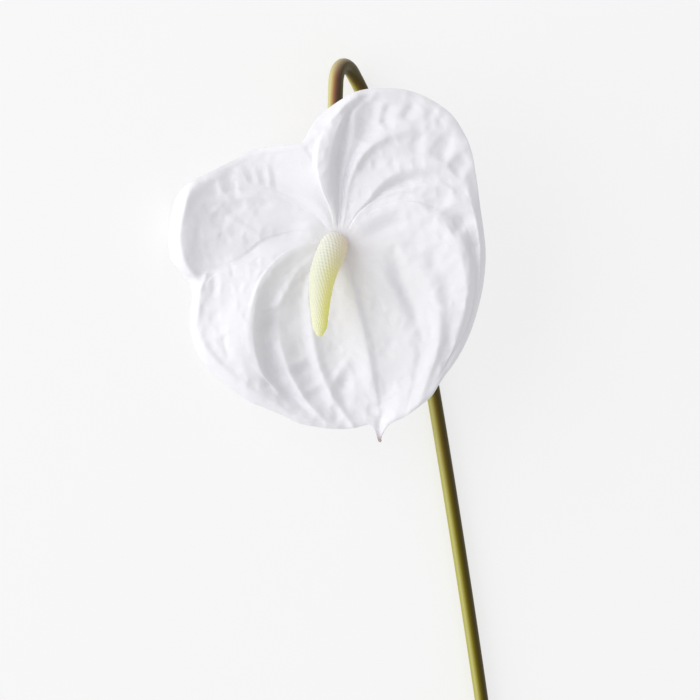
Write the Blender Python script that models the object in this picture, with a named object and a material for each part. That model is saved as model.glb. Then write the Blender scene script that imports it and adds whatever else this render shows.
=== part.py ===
"""A cut anthurium stem that lies down: a hooked stalk, one heart-shaped spathe and its spadix.

Every piece is drawn in the flower's own frame, in millimetres: x to the right and y up across the
spathe as one faces it, z out of the spathe towards the viewer, with zero at the foot of the
spadix. lay_down() then turns the whole flower on to its side and rests it on z = 0.
"""
import math
from collections import namedtuple

import bmesh
import bpy
import numpy as np
from mathutils import Matrix, Vector

MM = 0.001
GAP = 0.3                    # between pieces that touch, mm
SAME_PLACE = 0.0001          # corners closer than this are one, mm
SHARP = math.radians(50)     # edges that turn more than this stay sharp

# How the flower lies: the spathe's left edge and the stalk carry it, so it leans to its left.
LEAN = math.radians(16)

# Spathe
BLADE = 0.9                  # thickness, mm
SEAT = (-2.5, -6.0)          # middle of the flat seat that the stalk and the spadix meet at
SEAT_RADIUS = 5.6
COLUMN_EVERY = 2.7           # mm between columns of the net, measured WIDE_SHARE of the way out
WIDE_SHARE = 0.75
FEWEST_COLUMNS = 2           # between two veins
MOST_COLUMNS = 6
ROW_SHARES = (0.0, 0.05, 0.11, 0.18, 0.25, 0.32, 0.39, 0.46, 0.53, 0.6, 0.66, 0.72, 0.78, 0.83, 0.88, 0.92,
              0.96, 1.0)     # the net's rows, as shares of the way from the seat to the edge
FLANK_POWER = 1.3            # above 1 rounds the crests of the veins
ROLL_POWER = 1.5             # above 1 lets the edge start to roll gently
DRIFT_POWER = 4              # keeps the columns on the veins until they are near the outline
SEAT_SHARE = 1 / 6           # of the way out, where the puckers have their full depth

# Spadix: its axis as (x, y, z, radius), and the florets that stand out of it as relief
SPADIX_AXIS = [(-2.9, -6.9, GAP, 5.3), (-3.3, -7.6, 3.5, 5.5), (-4.3, -10.2, 8.0, 5.7),
               (-6.2, -14.8, 12.2, 5.6), (-8.0, -21.0, 15.6, 5.1), (-8.9, -29.0, 18.0, 4.3),
               (-9.1, -37.0, 19.4, 3.2), (-9.1, -41.8, 20.0, 2.4), (-9.1, -43.6, 20.2, 1.5)]
FLORETS_ROUND = 13
FLORET_ROWS = 24
FLORET_HEIGHT = 0.4
TIP_CAP = 0.7                # how far the closed tip stands past the last ring

# Stalk: the run that lies on the table as (x, y, how far it stands off the table, radius), the
# hook as (x, y, share of the rise, radius), and the leg that comes down behind the spathe
STALK_SIDES = 12
STALK_STEP = 7.5             # mm between rings along the straight run
STRAIGHT_SHARE = 0.75        # of the stalk's length, from the cut end to where the hook begins
HOOK_RINGS = 34
LOW_RUN = [(86.3, -394.0, 0.0, 2.88), (74.0, -310.0, 0.8, 2.88), (58.9, -197.8, 1.3, 2.88),
           (49.9, -138.5, 1.1, 2.95), (38.9, -71.1, 0.6, 3.0), (31.4, -29.0, 0.25, 3.0),
           (25.1, 1.2, 0.05, 3.0), (17.1, 33.8, 0.0, 3.0), (12.0, 49.0, 0.3, 3.0)]
HOOK = [(8.1, 58.6, 0.05, 3.0), (5.1, 64.2, 0.15, 3.02), (3.6, 66.6, 0.27, 3.05), (1.6, 68.0, 0.42, 3.1),
        (-0.2, 67.6, 0.59, 3.15), (-1.7, 65.3, 0.76, 3.15), (-2.4, 62.3, 0.88, 3.15),
        (-2.6, 58.6, 0.96, 3.15)]
FRONT_LEG = [(-2.8, 52.0, -6.4, 3.15), (-2.9, 40.0, -6.4, 3.1), (-2.8, 24.0, -6.8, 3.0),
             (-2.6, 8.0, -7.2, 3.0), (-2.5, -1.5, -6.2, 3.1), (-2.5, -5.2, -3.6, 3.3),
             (SEAT[0], SEAT[1], -BLADE - GAP, 3.6)]

# A vein runs out from the seat, which it leaves at an angle in degrees, through its path of
# (x, y, height) to the first of its edge points. The other edge points lead on to the next vein.
# The edge rolls back over the width roll, by fall. Between this vein and the next one the blade
# sinks by furrow, near the seat, halfway and near the edge, and is lowest at the share low.
Vein = namedtuple("Vein", "leaves path edge roll fall furrow low")

# Counter-clockwise from the notch: down the left side, round the tip and up the right side.
VEINS = [
    Vein(100, [(-5, 7.5, 3.2), (-9.5, 17, 6.8), (-12.8, 26, 7.0)],
         [(-16, 34.9), (-19.5, 33.7), (-27, 33.3)], 2, 0.5, (0, 0, 0), 0.5),
    Vein(108, [(-8, 7, 1.6), (-20, 18, 1.8), (-27, 26, 2.0)],
         [(-33, 32.8), (-38, 31.6), (-44, 28)], 3, 1.2, (0.2, 0.3, 0.2), 0.5),
    Vein(116, [(-10, 5.5, 1.4), (-24, 15.5, 1.6), (-36, 19.5, 1.4), (-46, 21.5, 1.8)],
         [(-54, 23), (-58.5, 20.8), (-62.5, 18.4), (-66, 15.6)], 3, 0.3, (0.2, 0.2, 0), 0.5),
    Vein(124, [(-9, 3, 1.0), (-20, 8.5, 1.8), (-30, 12, 2.0), (-38, 13, 2.0), (-46, 11, 1.6), (-54, 9.5, 2.4),
               (-62.5, 10.5, 5.6)],
         [(-69, 11), (-70.8, 4)], 6, 12, (0.4, 1.0, 0.3), 0.3),
    Vein(131, [(-9, 0.8, 0.8), (-20, 2.5, 1.0), (-31, 3, 1.0), (-42, 1, 0.9), (-52, -2.5, 1.6), (-60, -4, 3.6),
               (-65, -4.3, 5.6)],
         [(-71.8, -3.5), (-71.2, -9), (-70.2, -13)], 6, 14, (0.2, 0.3, 0.1), 0.5),
    Vein(138, [(-12, -0.8, 1.4), (-25, -2, 3.0), (-33, -4.5, 3.8), (-38.5, -9, 4.0), (-45, -13, 3.0),
               (-53, -15, 2.2), (-60.5, -17.5, 4.4)],
         [(-67, -17.5), (-65, -19.8)], 6, 8, (0.6, 1.5, 0), 0.4),
    Vein(145, [(-12, -2.4, 1.4), (-25, -5, 3.0), (-34, -10, 3.8), (-41, -14.5, 3.8), (-50, -17.5, 2.8),
               (-57.5, -20.5, 2.4)],
         [(-63, -22), (-61.7, -25)], 4, 4, (0, 0, 0), 0.5),
    Vein(152, [(-12, -3.4, 1.5), (-25, -7, 3.4), (-36, -13, 4.6), (-46, -18, 4.4), (-53.5, -20, 4.6),
               (-55.5, -25, 4.6)],
         [(-61.5, -28), (-62.3, -34)], 4, 5, (0, 0, 0), 0.5),
    Vein(160, [(-12, -4.5, 1.6), (-24, -8.5, 3.6), (-34, -15.5, 5.2), (-43, -24, 5.2), (-50, -32, 4.2),
               (-57.5, -39, 3.4)],
         [(-62.4, -40), (-60.7, -48), (-58.2, -53.5), (-54, -58.5)], 4, 5, (0, 0, 0), 0.5),
    Vein(168, [(-11.5, -4.8, 1.7), (-22.5, -9.3, 4.0), (-32, -18, 6.2), (-39, -29, 7.4), (-42.5, -41, 7.2),
               (-42, -53, 5.8), (-43.5, -60, 3.6)],
         [(-46, -65.5), (-38, -71), (-33.5, -73), (-25, -76.5)], 4, 2.5, (0, 0, 0), 0.5),
    Vein(178, [(-11, -5.5, 1.8), (-21, -8.2, 4.2), (-29, -15.5, 6.6), (-35, -26.5, 8.6), (-37.2, -38, 9.2),
               (-37, -48.5, 8.6), (-34, -59.5, 6.4), (-28, -69, 4.0)],
         [(-17.5, -80), (-12, -81.2), (-7, -82)], 2, 1.0, (0.8, 2.8, 2.0), 0.72),
    Vein(205, [(-10.5, -11, 1.2), (-18, -17.5, 2.8), (-23.4, -27.5, 3.8), (-25.5, -39, 4.2), (-25, -48.5, 4.0),
               (-21.5, -59, 3.0), (-14.5, -70, 2.0)],
         [(-3, -82.3), (1, -82.3)], 2, 1.0, (0.6, 1.2, 0.9), 0.5),
    Vein(235, [(-8.5, -15, 1.0), (-13, -22, 1.8), (-13, -34, 2.2), (-11.5, -46, 2.2), (-8.5, -58, 1.8),
               (-3.7, -68.5, 1.6)],
         [(5, -81.9), (8, -81.1)], 2, 0.6, (0.3, 0.9, 0.7), 0.4),
    Vein(262, [(-3.5, -16, 0.4), (-2.5, -30, 0.6), (0, -46, 1.2), (4, -60, 1.4), (8, -72, 1.2)],
         [(10.8, -80.6), (12.3, -82), (13.9, -84.5), (14.9, -87.3)], 1, 0.3, (0, 0, 0), 0.5),
    Vein(290, [(1.6, -14, 1.2), (5.3, -26, 3.0), (9.6, -42, 3.8), (12.6, -58, 3.2), (14.6, -71, 1.8)],
         [(15.6, -87.6), (15.9, -86.3), (16.6, -84), (18, -82), (20.1, -79.9)], 3, 1.5, (1.4, 1.8, 0.8), 0.25),
    Vein(318, [(5.5, -12, 1.0), (13.5, -19, 3.0), (22, -29, 4.2), (27.3, -39.5, 4.8), (28.4, -50, 4.6),
               (26, -63, 3.6)],
         [(23.5, -78.3), (26, -77)], 2, 0.6, (0.6, 1.0, 0.6), 0.4),
    Vein(342, [(8, -7.2, 1.2), (17, -6.5, 2.6), (28, -12.5, 4.8), (36, -22.5, 6.6), (39.7, -36, 7.2),
               (38.8, -50, 6.2), (34.5, -63, 4.0)],
         [(30.3, -74), (33.5, -71.5), (36.5, -69)], 2, 0.6, (1.2, 0.8, 0.8), 0.65),
    Vein(5, [(8, 1, 1.5), (18, 6.6, 3.6), (30, 6.2, 5.8), (40, 1.5, 7.6), (47.5, -7, 9.0), (50.6, -20, 9.6),
             (50.2, -34, 8.8), (46.5, -47, 6.6), (43.5, -55, 4.4)],
         [(41, -62), (46.5, -54.5), (50, -48.5), (53.5, -40.5)], 2, 0.5, (0.6, 0.6, 0), 0.5),
    Vein(20, [(7.5, 3.5, 1.6), (18, 9.5, 3.8), (30, 10.5, 5.8), (41, 6.5, 7.6), (48.5, 0, 8.6), (53, -9, 8.0),
              (55.3, -20, 6.2)],
         [(56.3, -31), (57.6, -25), (58.7, -16), (58.8, -9)], 3, 0.8, (0.3, 0.4, 0.1), 0.5),
    Vein(34, [(6.5, 5, 1.6), (16, 12, 3.8), (28, 16, 5.8), (40, 16, 7.2), (50, 11, 7.8)],
         [(57.8, 0), (56.6, 7.5), (55.5, 15)], 3, 1.2, (0.5, 1.2, 0.4), 0.72),
    Vein(48, [(4.4, 6, 1.8), (9.5, 13.5, 4.2), (17, 20, 5.8), (27, 24.3, 6.4), (37, 25.8, 6.8), (47, 24, 6.8)],
         [(54.3, 22.5), (52.5, 31), (50, 37)], 3, 1.0, (0.7, 1.6, 0.4), 0.8),
    Vein(62, [(2, 9, 2.4), (3, 18, 4.4), (7, 28, 5.6), (12.8, 35.3, 5.8), (22, 39.5, 5.6), (33, 42, 5.2)],
         [(44.5, 46), (38.5, 49.8), (31.5, 53.5), (25, 56)], 3, 1.0, (0.3, 0.4, 0.3), 0.6),
    Vein(76, [(0.3, 8, 2.0), (0.8, 18, 3.8), (3, 28, 5.4), (5.2, 37, 6.6), (6.6, 46, 6.6)],
         [(17.5, 57), (11, 56.8)], 3, 1.2, (1.4, 2.4, 1.4), 0.35),
    Vein(86, [(-3.2, 7.4, 4.2), (-6, 14.5, 8.6), (-7.6, 22, 10.8), (-7, 30, 11.2), (-5, 39.5, 10.2),
              (-1.5, 46.5, 8.2)],
         [(5, 55.3), (0.4, 52.9)], 3, 2.0, (0, 0, 0), 0.5),
    Vein(93, [(-4.3, 8, 3.9), (-7.8, 16.5, 8.2), (-9.8, 26, 9.8), (-9.6, 36, 8.8)],
         [(-5.7, 48.8), (-9.8, 45.1), (-13.1, 40.2)], 4, 2.5, (0, 0, 0), 0.5),
]

# The puckers of the net between the veins: x, y, half length, half width, turn in degrees, depth
PUCKERS = [
    (18.5, 46.5, 5, 1.8, 75, 0.8), (28.5, 47.5, 4, 1.8, 65, 0.8), (37.5, 46, 3, 1.6, 60, 0.5),
    (42, 44, 2, 1.4, 60, 0.35), (32.5, 38, 2.2, 1.8, 70, 0.5), (29.5, 33, 4, 1.3, 80, 0.3),
    (21.5, 27, 2.2, 1.4, 80, 0.3), (40.5, 32.5, 5.5, 3, 65, 1.2), (48, 24.5, 5, 3, 45, 1.1),
    (36, 10, 4, 2.5, 40, 0.5), (43, 14.5, 2.5, 2, 60, 0.4), (48, 2, 4.5, 3.5, -60, 1.2),
    (53, -8, 4, 3, -70, 1.1), (21.2, -15, 8, 2.8, -72, 1.2), (29.5, -9, 2.5, 2.2, 0, 0.4),
    (36.5, -13, 3, 3, 0, 0.5), (41.5, -25, 3.5, 3, 0, 0.35), (44, -43, 4, 2, -70, 0.4),
    (43.5, -52, 4, 1.6, -80, 0.5), (21, -48, 5, 2, 60, 0.3), (16.5, -62, 4, 2, -75, 0.7),
    (1, -48, 4, 1.6, 50, 0.4), (-4, -55, 5, 2.4, -75, 0.7), (0.5, -65, 4.5, 2.5, 60, 0.9),
    (2, -71.5, 3, 2, -60, 0.5), (-15.5, -58.5, 4.5, 3, -30, 1.0), (-12.5, -66.5, 4.5, 2.4, -50, 0.9),
    (-7.5, -71, 3.5, 2, 40, 0.7), (-1.5, -76.5, 3, 1.5, 70, 0.5), (-30, -41, 5, 3.5, 60, 0.8),
    (-31, -54, 5, 3, 70, 0.8), (-27.5, -63, 4, 2.8, -50, 0.9), (-22, -69, 4, 2, -40, 0.6),
    (-57.5, 10, 3.5, 3.5, 0, 0.9), (-44.5, 19, 4.5, 3, 100, 0.8), (-53.5, 16.5, 3.5, 3, 0, 0.6),
    (-49, 3.5, 3, 2.5, 0, 0.5), (-37.5, 21.5, 4, 1.2, 105, 0.4), (-32.5, 22, 4.5, 1.3, 100, 0.45),
    (-27, 22.5, 5, 1.4, 95, 0.45), (-48, -45, 3, 1.5, -75, 0.25), (-45.5, -52, 3.5, 1.5, -80, 0.4),
    (-43, -23, 3.5, 3, 0, 0.35),
]


def through(knots, values, at):
    """A smooth curve through the values at their knots, read at every place in at."""
    knots = np.asarray(knots, float)
    values = np.asarray(values, float)
    slopes = np.gradient(values, knots, axis=0)
    i = np.clip(np.searchsorted(knots, at, side="right") - 1, 0, len(knots) - 2)
    column = (-1,) + (1,) * (values.ndim - 1)
    span = (knots[i + 1] - knots[i]).reshape(column)
    s = (at - knots[i]).reshape(column) / span
    rise = values[i] * (1 + 2 * s) * (1 - s) ** 2 + values[i + 1] * s * s * (3 - 2 * s)
    return rise + span * (slopes[i] * s * (1 - s) ** 2 + slopes[i + 1] * s * s * (s - 1))


def along(points, at, axes=2):
    """The points of a path read at shares of its length, measured over its first two or three axes."""
    points = np.array(points, float)
    steps = np.linalg.norm(np.diff(points[:, :axes], axis=0), axis=1)
    knots = np.concatenate([[0], np.cumsum(steps)])
    return through(knots / knots[-1], points, at)


def round_trip(rows, at, wrap=3):
    """Rows that follow each other round the flower, read between them at every place in at."""
    rows = np.asarray(rows, float)
    wrapped = np.concatenate([rows[-wrap:], rows, rows[:wrap + 1]])
    return through(np.arange(-wrap, len(rows) + wrap + 1), wrapped, at)


def vein_points(vein):
    """A vein's path from the seat's rim to the spathe's edge."""
    turn = math.radians(vein.leaves)
    start = (SEAT[0] + SEAT_RADIUS * math.cos(turn), SEAT[1] + SEAT_RADIUS * math.sin(turn), 0)
    return [start, *vein.path, (*vein.edge[0], vein.path[-1][2])]


def edge_curve(at):
    """The spathe's outline, where whole numbers in at are the ends of the veins."""
    knots = []
    points = []
    for number, vein in enumerate(VEINS):
        for step, point in enumerate(vein.edge):
            knots.append(number + step / len(vein.edge))
            points.append(point)
    wrap = 4
    count = len(VEINS)
    knots = [k - count for k in knots[-wrap:]] + knots + [k + count for k in knots[:wrap]]
    points = points[-wrap:] + points + points[:wrap]
    return through(knots, points, at)


def furrow_depth(at, shares):
    """How far the blade sinks between two veins."""
    numbers = np.floor(at).astype(int)
    across = at - numbers
    low = np.array([VEINS[n].low for n in numbers])
    flank = np.where(across < low, across / low, (1 - across) / (1 - low))
    stations = (0, 0.06, 0.2, 0.5, 0.9, 1)
    depth = []
    for near, middle, far in (VEINS[n].furrow for n in numbers):
        depth.append(np.interp(shares, stations, (0, 0.1 * near, near, middle, far, 0.5 * far)))
    return np.array(depth) * (np.sin(0.5 * np.pi * flank) ** FLANK_POWER)[:, None]


def rolled_edge(at, shares):
    """How far the edge has rolled back."""
    lengths = []
    for vein in VEINS:
        points = np.array(vein_points(vein))
        lengths.append(np.linalg.norm(np.diff(points[:, :2], axis=0), axis=1).sum())
    fall = round_trip([vein.fall for vein in VEINS], at)[:, None]
    roll = round_trip([vein.roll / length for vein, length in zip(VEINS, lengths)], at)[:, None]
    return fall * np.clip((shares[None, :] - 1 + roll) / roll, 0, 1) ** ROLL_POWER


def pucker_depth(x, y):
    """How far the puckers sink the blade at each point."""
    depth = np.zeros_like(x)
    for px, py, half_length, half_width, turn, deep in PUCKERS:
        c = math.cos(math.radians(turn))
        s = math.sin(math.radians(turn))
        lengthwise = ((x - px) * c + (y - py) * s) / half_length
        crosswise = ((y - py) * c - (x - px) * s) / half_width
        depth += deep * np.exp(-lengthwise ** 2 - crosswise ** 2)
    return depth


def spathe_face(at, shares):
    """The spathe's front: points for every place round the flower and share of the way out."""
    veins = [along(vein_points(vein), shares) for vein in VEINS]
    face = round_trip(veins, at)
    drift = edge_curve(at) - face[:, -1, :2]
    face[:, :, :2] += shares[None, :, None] ** DRIFT_POWER * drift[:, None, :]
    face[:, :, 2] -= furrow_depth(at, shares) + rolled_edge(at, shares)
    face[:, :, 2] -= pucker_depth(face[:, :, 0], face[:, :, 1]) * np.clip(shares / SEAT_SHARE, 0, 1)
    return face


def spathe_columns():
    """Places round the flower for the net's columns, closer where the veins stand further apart."""
    middles = [along(vein_points(vein), np.array([WIDE_SHARE]))[0, :2] for vein in VEINS]
    places = []
    for number, middle in enumerate(middles):
        width = np.linalg.norm(middles[(number + 1) % len(middles)] - middle)
        count = min(max(round(width / COLUMN_EVERY), FEWEST_COLUMNS), MOST_COLUMNS)
        places += [number + step / count for step in range(count)]
    return np.array(places)


def closed_net(columns, rows):
    """A net whose last column meets its first, from rows of points, with a point at each pole."""
    net = bmesh.new()
    bmesh.ops.create_grid(net, x_segments=columns, y_segments=len(rows) - 1, size=0.5)
    for corner in net.verts:
        column = round((corner.co.x + 0.5) * columns) % columns
        row = round((corner.co.y + 0.5) * (len(rows) - 1))
        corner.co = Vector(rows[row][column])
    bmesh.ops.remove_doubles(net, verts=net.verts, dist=SAME_PLACE)
    return net


def tube_rows(axis, radii, sides, first_facing, last_facing):
    """Rings along an axis, closed by a point at each end, whose end rings face as asked."""
    rows = []
    side = Vector((1, 0, 0))
    for number, centre in enumerate(axis):
        before = axis[max(number - 1, 0)]
        after = axis[min(number + 1, len(axis) - 1)]
        facing = (after - before).normalized()
        if number == 0:
            facing = first_facing or facing
        if number == len(axis) - 1:
            facing = last_facing or facing
        side = (side - facing * side.dot(facing)).normalized()
        up = facing.cross(side)
        turns = [math.tau * step / sides for step in range(sides)]
        rows.append([centre + (side * math.cos(t) + up * math.sin(t)) * radii[number] for t in turns])
    return [[axis[0]] * sides, *rows, [axis[-1]] * sides]


def finish(net, name, colour, roughness):
    """Turn a net into a smooth, named object in metres with its own material."""
    bmesh.ops.triangulate(net, faces=net.faces)
    bmesh.ops.recalc_face_normals(net, faces=net.faces)
    mesh = bpy.data.meshes.new(name)
    net.to_mesh(mesh)
    net.free()
    mesh.shade_smooth()
    mesh.set_sharp_from_angle(angle=SHARP)
    material = bpy.data.materials.new(name)
    material.use_nodes = True
    shader = material.node_tree.nodes["Principled BSDF"]
    shader.inputs["Base Color"].default_value = (*colour, 1)
    shader.inputs["Roughness"].default_value = roughness
    shader.inputs["Metallic"].default_value = 0
    mesh.materials.append(material)
    piece = bpy.data.objects.new(name, mesh)
    bpy.context.scene.collection.objects.link(piece)
    return piece


def make_spathe():
    """The bract: one thin blade, split into triangles before it is thickened, so both faces match."""
    places = spathe_columns()
    face = spathe_face(places, np.array(ROW_SHARES))
    middle = [(SEAT[0], SEAT[1], 0)] * len(places)
    net = closed_net(len(places), [middle] + [face[:, row] for row in range(len(ROW_SHARES))])
    bmesh.ops.triangulate(net, faces=net.faces)
    bmesh.ops.recalc_face_normals(net, faces=net.faces)
    outward = 1 if sum(f.normal.z for f in net.faces) > 0 else -1
    back_of = {corner: corner.co - corner.normal * outward * BLADE for corner in net.verts}
    front = list(net.verts)
    grown = bmesh.ops.extrude_face_region(net, geom=net.faces[:], use_keep_orig=True)["geom"]
    copies = [part for part in grown if isinstance(part, bmesh.types.BMVert)]
    for corner, copy in zip(front, copies):
        copy.co = back_of[corner]
    return finish(net, "spathe", (0.86, 0.86, 0.88), 0.6)


def make_spadix():
    """The club, with a floret at every other corner of its net as a small pyramid."""
    stations = np.linspace(0, 1, 2 * FLORET_ROWS + 1)
    read = along(SPADIX_AXIS, stations, axes=3)
    axis = [Vector(point[:3]) for point in read]
    sides = 2 * FLORETS_ROUND
    rows = tube_rows(axis, [point[3] for point in read], sides, Vector((0, 0, 1)), None)
    for number in range(2, len(rows) - 2):
        centre = axis[number - 1]
        for step in range(number % 2, sides, 2):
            outward = (rows[number][step] - centre).normalized()
            rows[number][step] = rows[number][step] + outward * FLORET_HEIGHT
    tip = axis[-1] + (axis[-1] - axis[-2]).normalized() * TIP_CAP
    rows[-1] = [tip] * sides
    return finish(closed_net(sides, rows), "spadix", (0.85, 0.83, 0.42), 0.55)


def off_table(x, height, table):
    """The depth z, in the flower's frame, of a point that stands so high over the table."""
    return (table + height - x * math.sin(LEAN)) / math.cos(LEAN)


def stalk_path(table):
    """The stalk's axis and radii from its cut end, over the hook, to the back of the spathe."""
    points = [(x, y, off_table(x, lift + radius, table), radius) for x, y, lift, radius in LOW_RUN]
    front = FRONT_LEG[0][2]
    for x, y, share, radius in HOOK:
        low = off_table(x, radius, table)
        points.append((x, y, low + (front - low) * share, radius))
    return points + FRONT_LEG


def make_stalk(table):
    """The stalk, one round tube with a plain cut at its foot."""
    points = stalk_path(table)
    length = sum(math.dist(a[:3], b[:3]) for a, b in zip(points, points[1:]))
    straight = round(STRAIGHT_SHARE * length / STALK_STEP)
    run = np.linspace(0, STRAIGHT_SHARE, straight, endpoint=False)
    stations = np.concatenate([run, np.linspace(STRAIGHT_SHARE, 1, HOOK_RINGS)])
    read = along(points, stations, axes=3)
    axis = [Vector(point[:3]) for point in read]
    rows = tube_rows(axis, [point[3] for point in read], STALK_SIDES, None, Vector((0, 0, 1)))
    return finish(closed_net(STALK_SIDES, rows), "stem", (0.28, 0.3, 0.08), 0.45)


def lay_down(pieces):
    """Turn the flower to its left, into metres, and rest it on z = 0 with its box centred."""
    turn = Matrix.Rotation(-LEAN, 4, "Y") @ Matrix.Scale(MM, 4)
    for piece in pieces:
        piece.data.transform(turn)
    corners = [corner.co for piece in pieces for corner in piece.data.vertices]
    low = [min(corner[axis] for corner in corners) for axis in range(3)]
    high = [max(corner[axis] for corner in corners) for axis in range(3)]
    shift = Vector((-(low[0] + high[0]) / 2, -(low[1] + high[1]) / 2, -low[2]))
    for piece in pieces:
        piece.data.transform(Matrix.Translation(shift))


def table_under(spathe):
    """How far the table lies below the seat, square to the table: the lowest point of the spathe."""
    return min(v.co.x * math.sin(LEAN) + v.co.z * math.cos(LEAN) for v in spathe.data.vertices)


def main():
    for old in list(bpy.data.objects):
        bpy.data.objects.remove(old, do_unlink=True)
    spathe = make_spathe()
    spadix = make_spadix()
    stalk = make_stalk(table_under(spathe))
    lay_down([spathe, spadix, stalk])


main()
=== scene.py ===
"""The looks of a cut anthurium that lies on a pale table beside one large soft light.

Every piece is drawn in the flower's own frame, in millimetres: x to the right and y up across the
spathe as one faces it, z out of the spathe towards the viewer, with zero at the foot of the
spadix. as_it_lies() then turns a piece on to its side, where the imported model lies.
"""
import math
from collections import namedtuple

import bmesh
import bpy
import numpy as np
from mathutils import Matrix, Vector


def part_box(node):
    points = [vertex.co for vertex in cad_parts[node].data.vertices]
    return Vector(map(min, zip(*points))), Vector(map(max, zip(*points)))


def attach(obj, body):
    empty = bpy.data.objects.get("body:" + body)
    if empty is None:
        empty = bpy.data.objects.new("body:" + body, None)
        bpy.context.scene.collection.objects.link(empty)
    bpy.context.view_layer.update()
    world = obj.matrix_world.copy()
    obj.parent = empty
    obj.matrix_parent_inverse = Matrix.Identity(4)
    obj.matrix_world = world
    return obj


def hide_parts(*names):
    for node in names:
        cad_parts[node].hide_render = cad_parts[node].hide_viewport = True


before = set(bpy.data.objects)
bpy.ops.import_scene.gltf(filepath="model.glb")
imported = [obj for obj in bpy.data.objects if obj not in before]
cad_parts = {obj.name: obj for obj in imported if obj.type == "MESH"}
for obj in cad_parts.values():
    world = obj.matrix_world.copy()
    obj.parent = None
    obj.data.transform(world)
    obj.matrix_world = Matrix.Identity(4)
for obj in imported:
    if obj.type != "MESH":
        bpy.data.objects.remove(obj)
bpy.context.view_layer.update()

MM = 0.001
SAME_PLACE = 0.0001          # mm: corners closer than this are one, and no length counts as less

# How the flower lies: it leans to its left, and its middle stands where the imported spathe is.
LEAN = math.radians(16)
FROM_BOX = (0.0667, -0.05716, 0.02801)   # the spadix's foot from the spathe box's left, top and base
low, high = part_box("spathe")
FOOT = Vector((low.x + FROM_BOX[0], high.y + FROM_BOX[1], low.z + FROM_BOX[2]))
LIES = Matrix.Translation(FOOT) @ Matrix.Rotation(-LEAN, 4, "Y") @ Matrix.Scale(MM, 4)

# The camera looks straight down the spathe's own z axis.
VIEW_CENTRE = (3.28, -50.02)     # what the middle of the picture shows, at z = 0
VIEW_WIDTH = 287.0               # what the picture spans there
VIEW_DISTANCE = 1300.0
FILM_WIDTH = 36.0

# The room: a large square window and a table, in metres, and how bright each part of it is
KEY_FROM = (-0.88, 0.18, 0.43)   # towards the window, in the flower's own frame
KEY_WATTS = 32.0
KEY_SIZE = 2.6
KEY_DISTANCE = 1.6
ROOM_LIGHT = 0.60
TABLE_HALF = 3.0
TABLE_TONE = (0.35, 0.35, 0.35)
TABLE_GLOW = 0.645

# Spathe
BLADE = 0.9                  # thickness at the seat
RIM = 0.55                   # thickness at the edge
THIN_POWER = 3               # above 1 keeps the blade thick until it is near the edge
SEAT = (-2.5, -6.0)          # middle of the flat seat that the stalk and the spadix meet at
SEAT_RADIUS = 5.6
COLUMN_EVERY = 0.8           # between columns of the net, measured WIDE_SHARE of the way out
WIDE_SHARE = 0.75
FEWEST_COLUMNS = 8           # between two veins
MOST_COLUMNS = 22
ROWS = 92                    # rings of the net on each face
RIM_ROWS = 3                 # rings that round the edge
FLANK_POWER = 1.5            # above 1 rounds the crests of the veins
FURROW_STATIONS = (0.2, 0.45, 0.7, 0.92)     # shares of the way from the seat to the edge
FURROW_AT_EDGE = 0.5         # share of its last depth that a furrow still has at the edge
ROLL_POWER = 1.5             # above 1 lets the edge start to roll gently
DRIFT_POWER = 4              # keeps the columns on the veins until they are near the outline
SEAT_SHARE = 1 / 6           # of the way out, from where the net, ribs and puckers are full
PAINTED_SHADE_DEPTH = 3.0            # depth of a hollow that is fully in its painted shade
TIP = (14.9, -87.0)
TIP_BLUSH = 2.2              # how far the tip's darker tone reaches

# A vein runs out from the seat, which it leaves at an angle in degrees, through its path of
# (x, y, height) to the first of its edge points. The other edge points lead on to the next vein.
# The edge rolls back over the width roll, by fall. Between this vein and the next one the blade
# sinks by furrow, at the four FURROW_STATIONS on the way out, and is lowest at the share low.
Vein = namedtuple("Vein", "leaves path edge roll fall furrow low")

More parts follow.
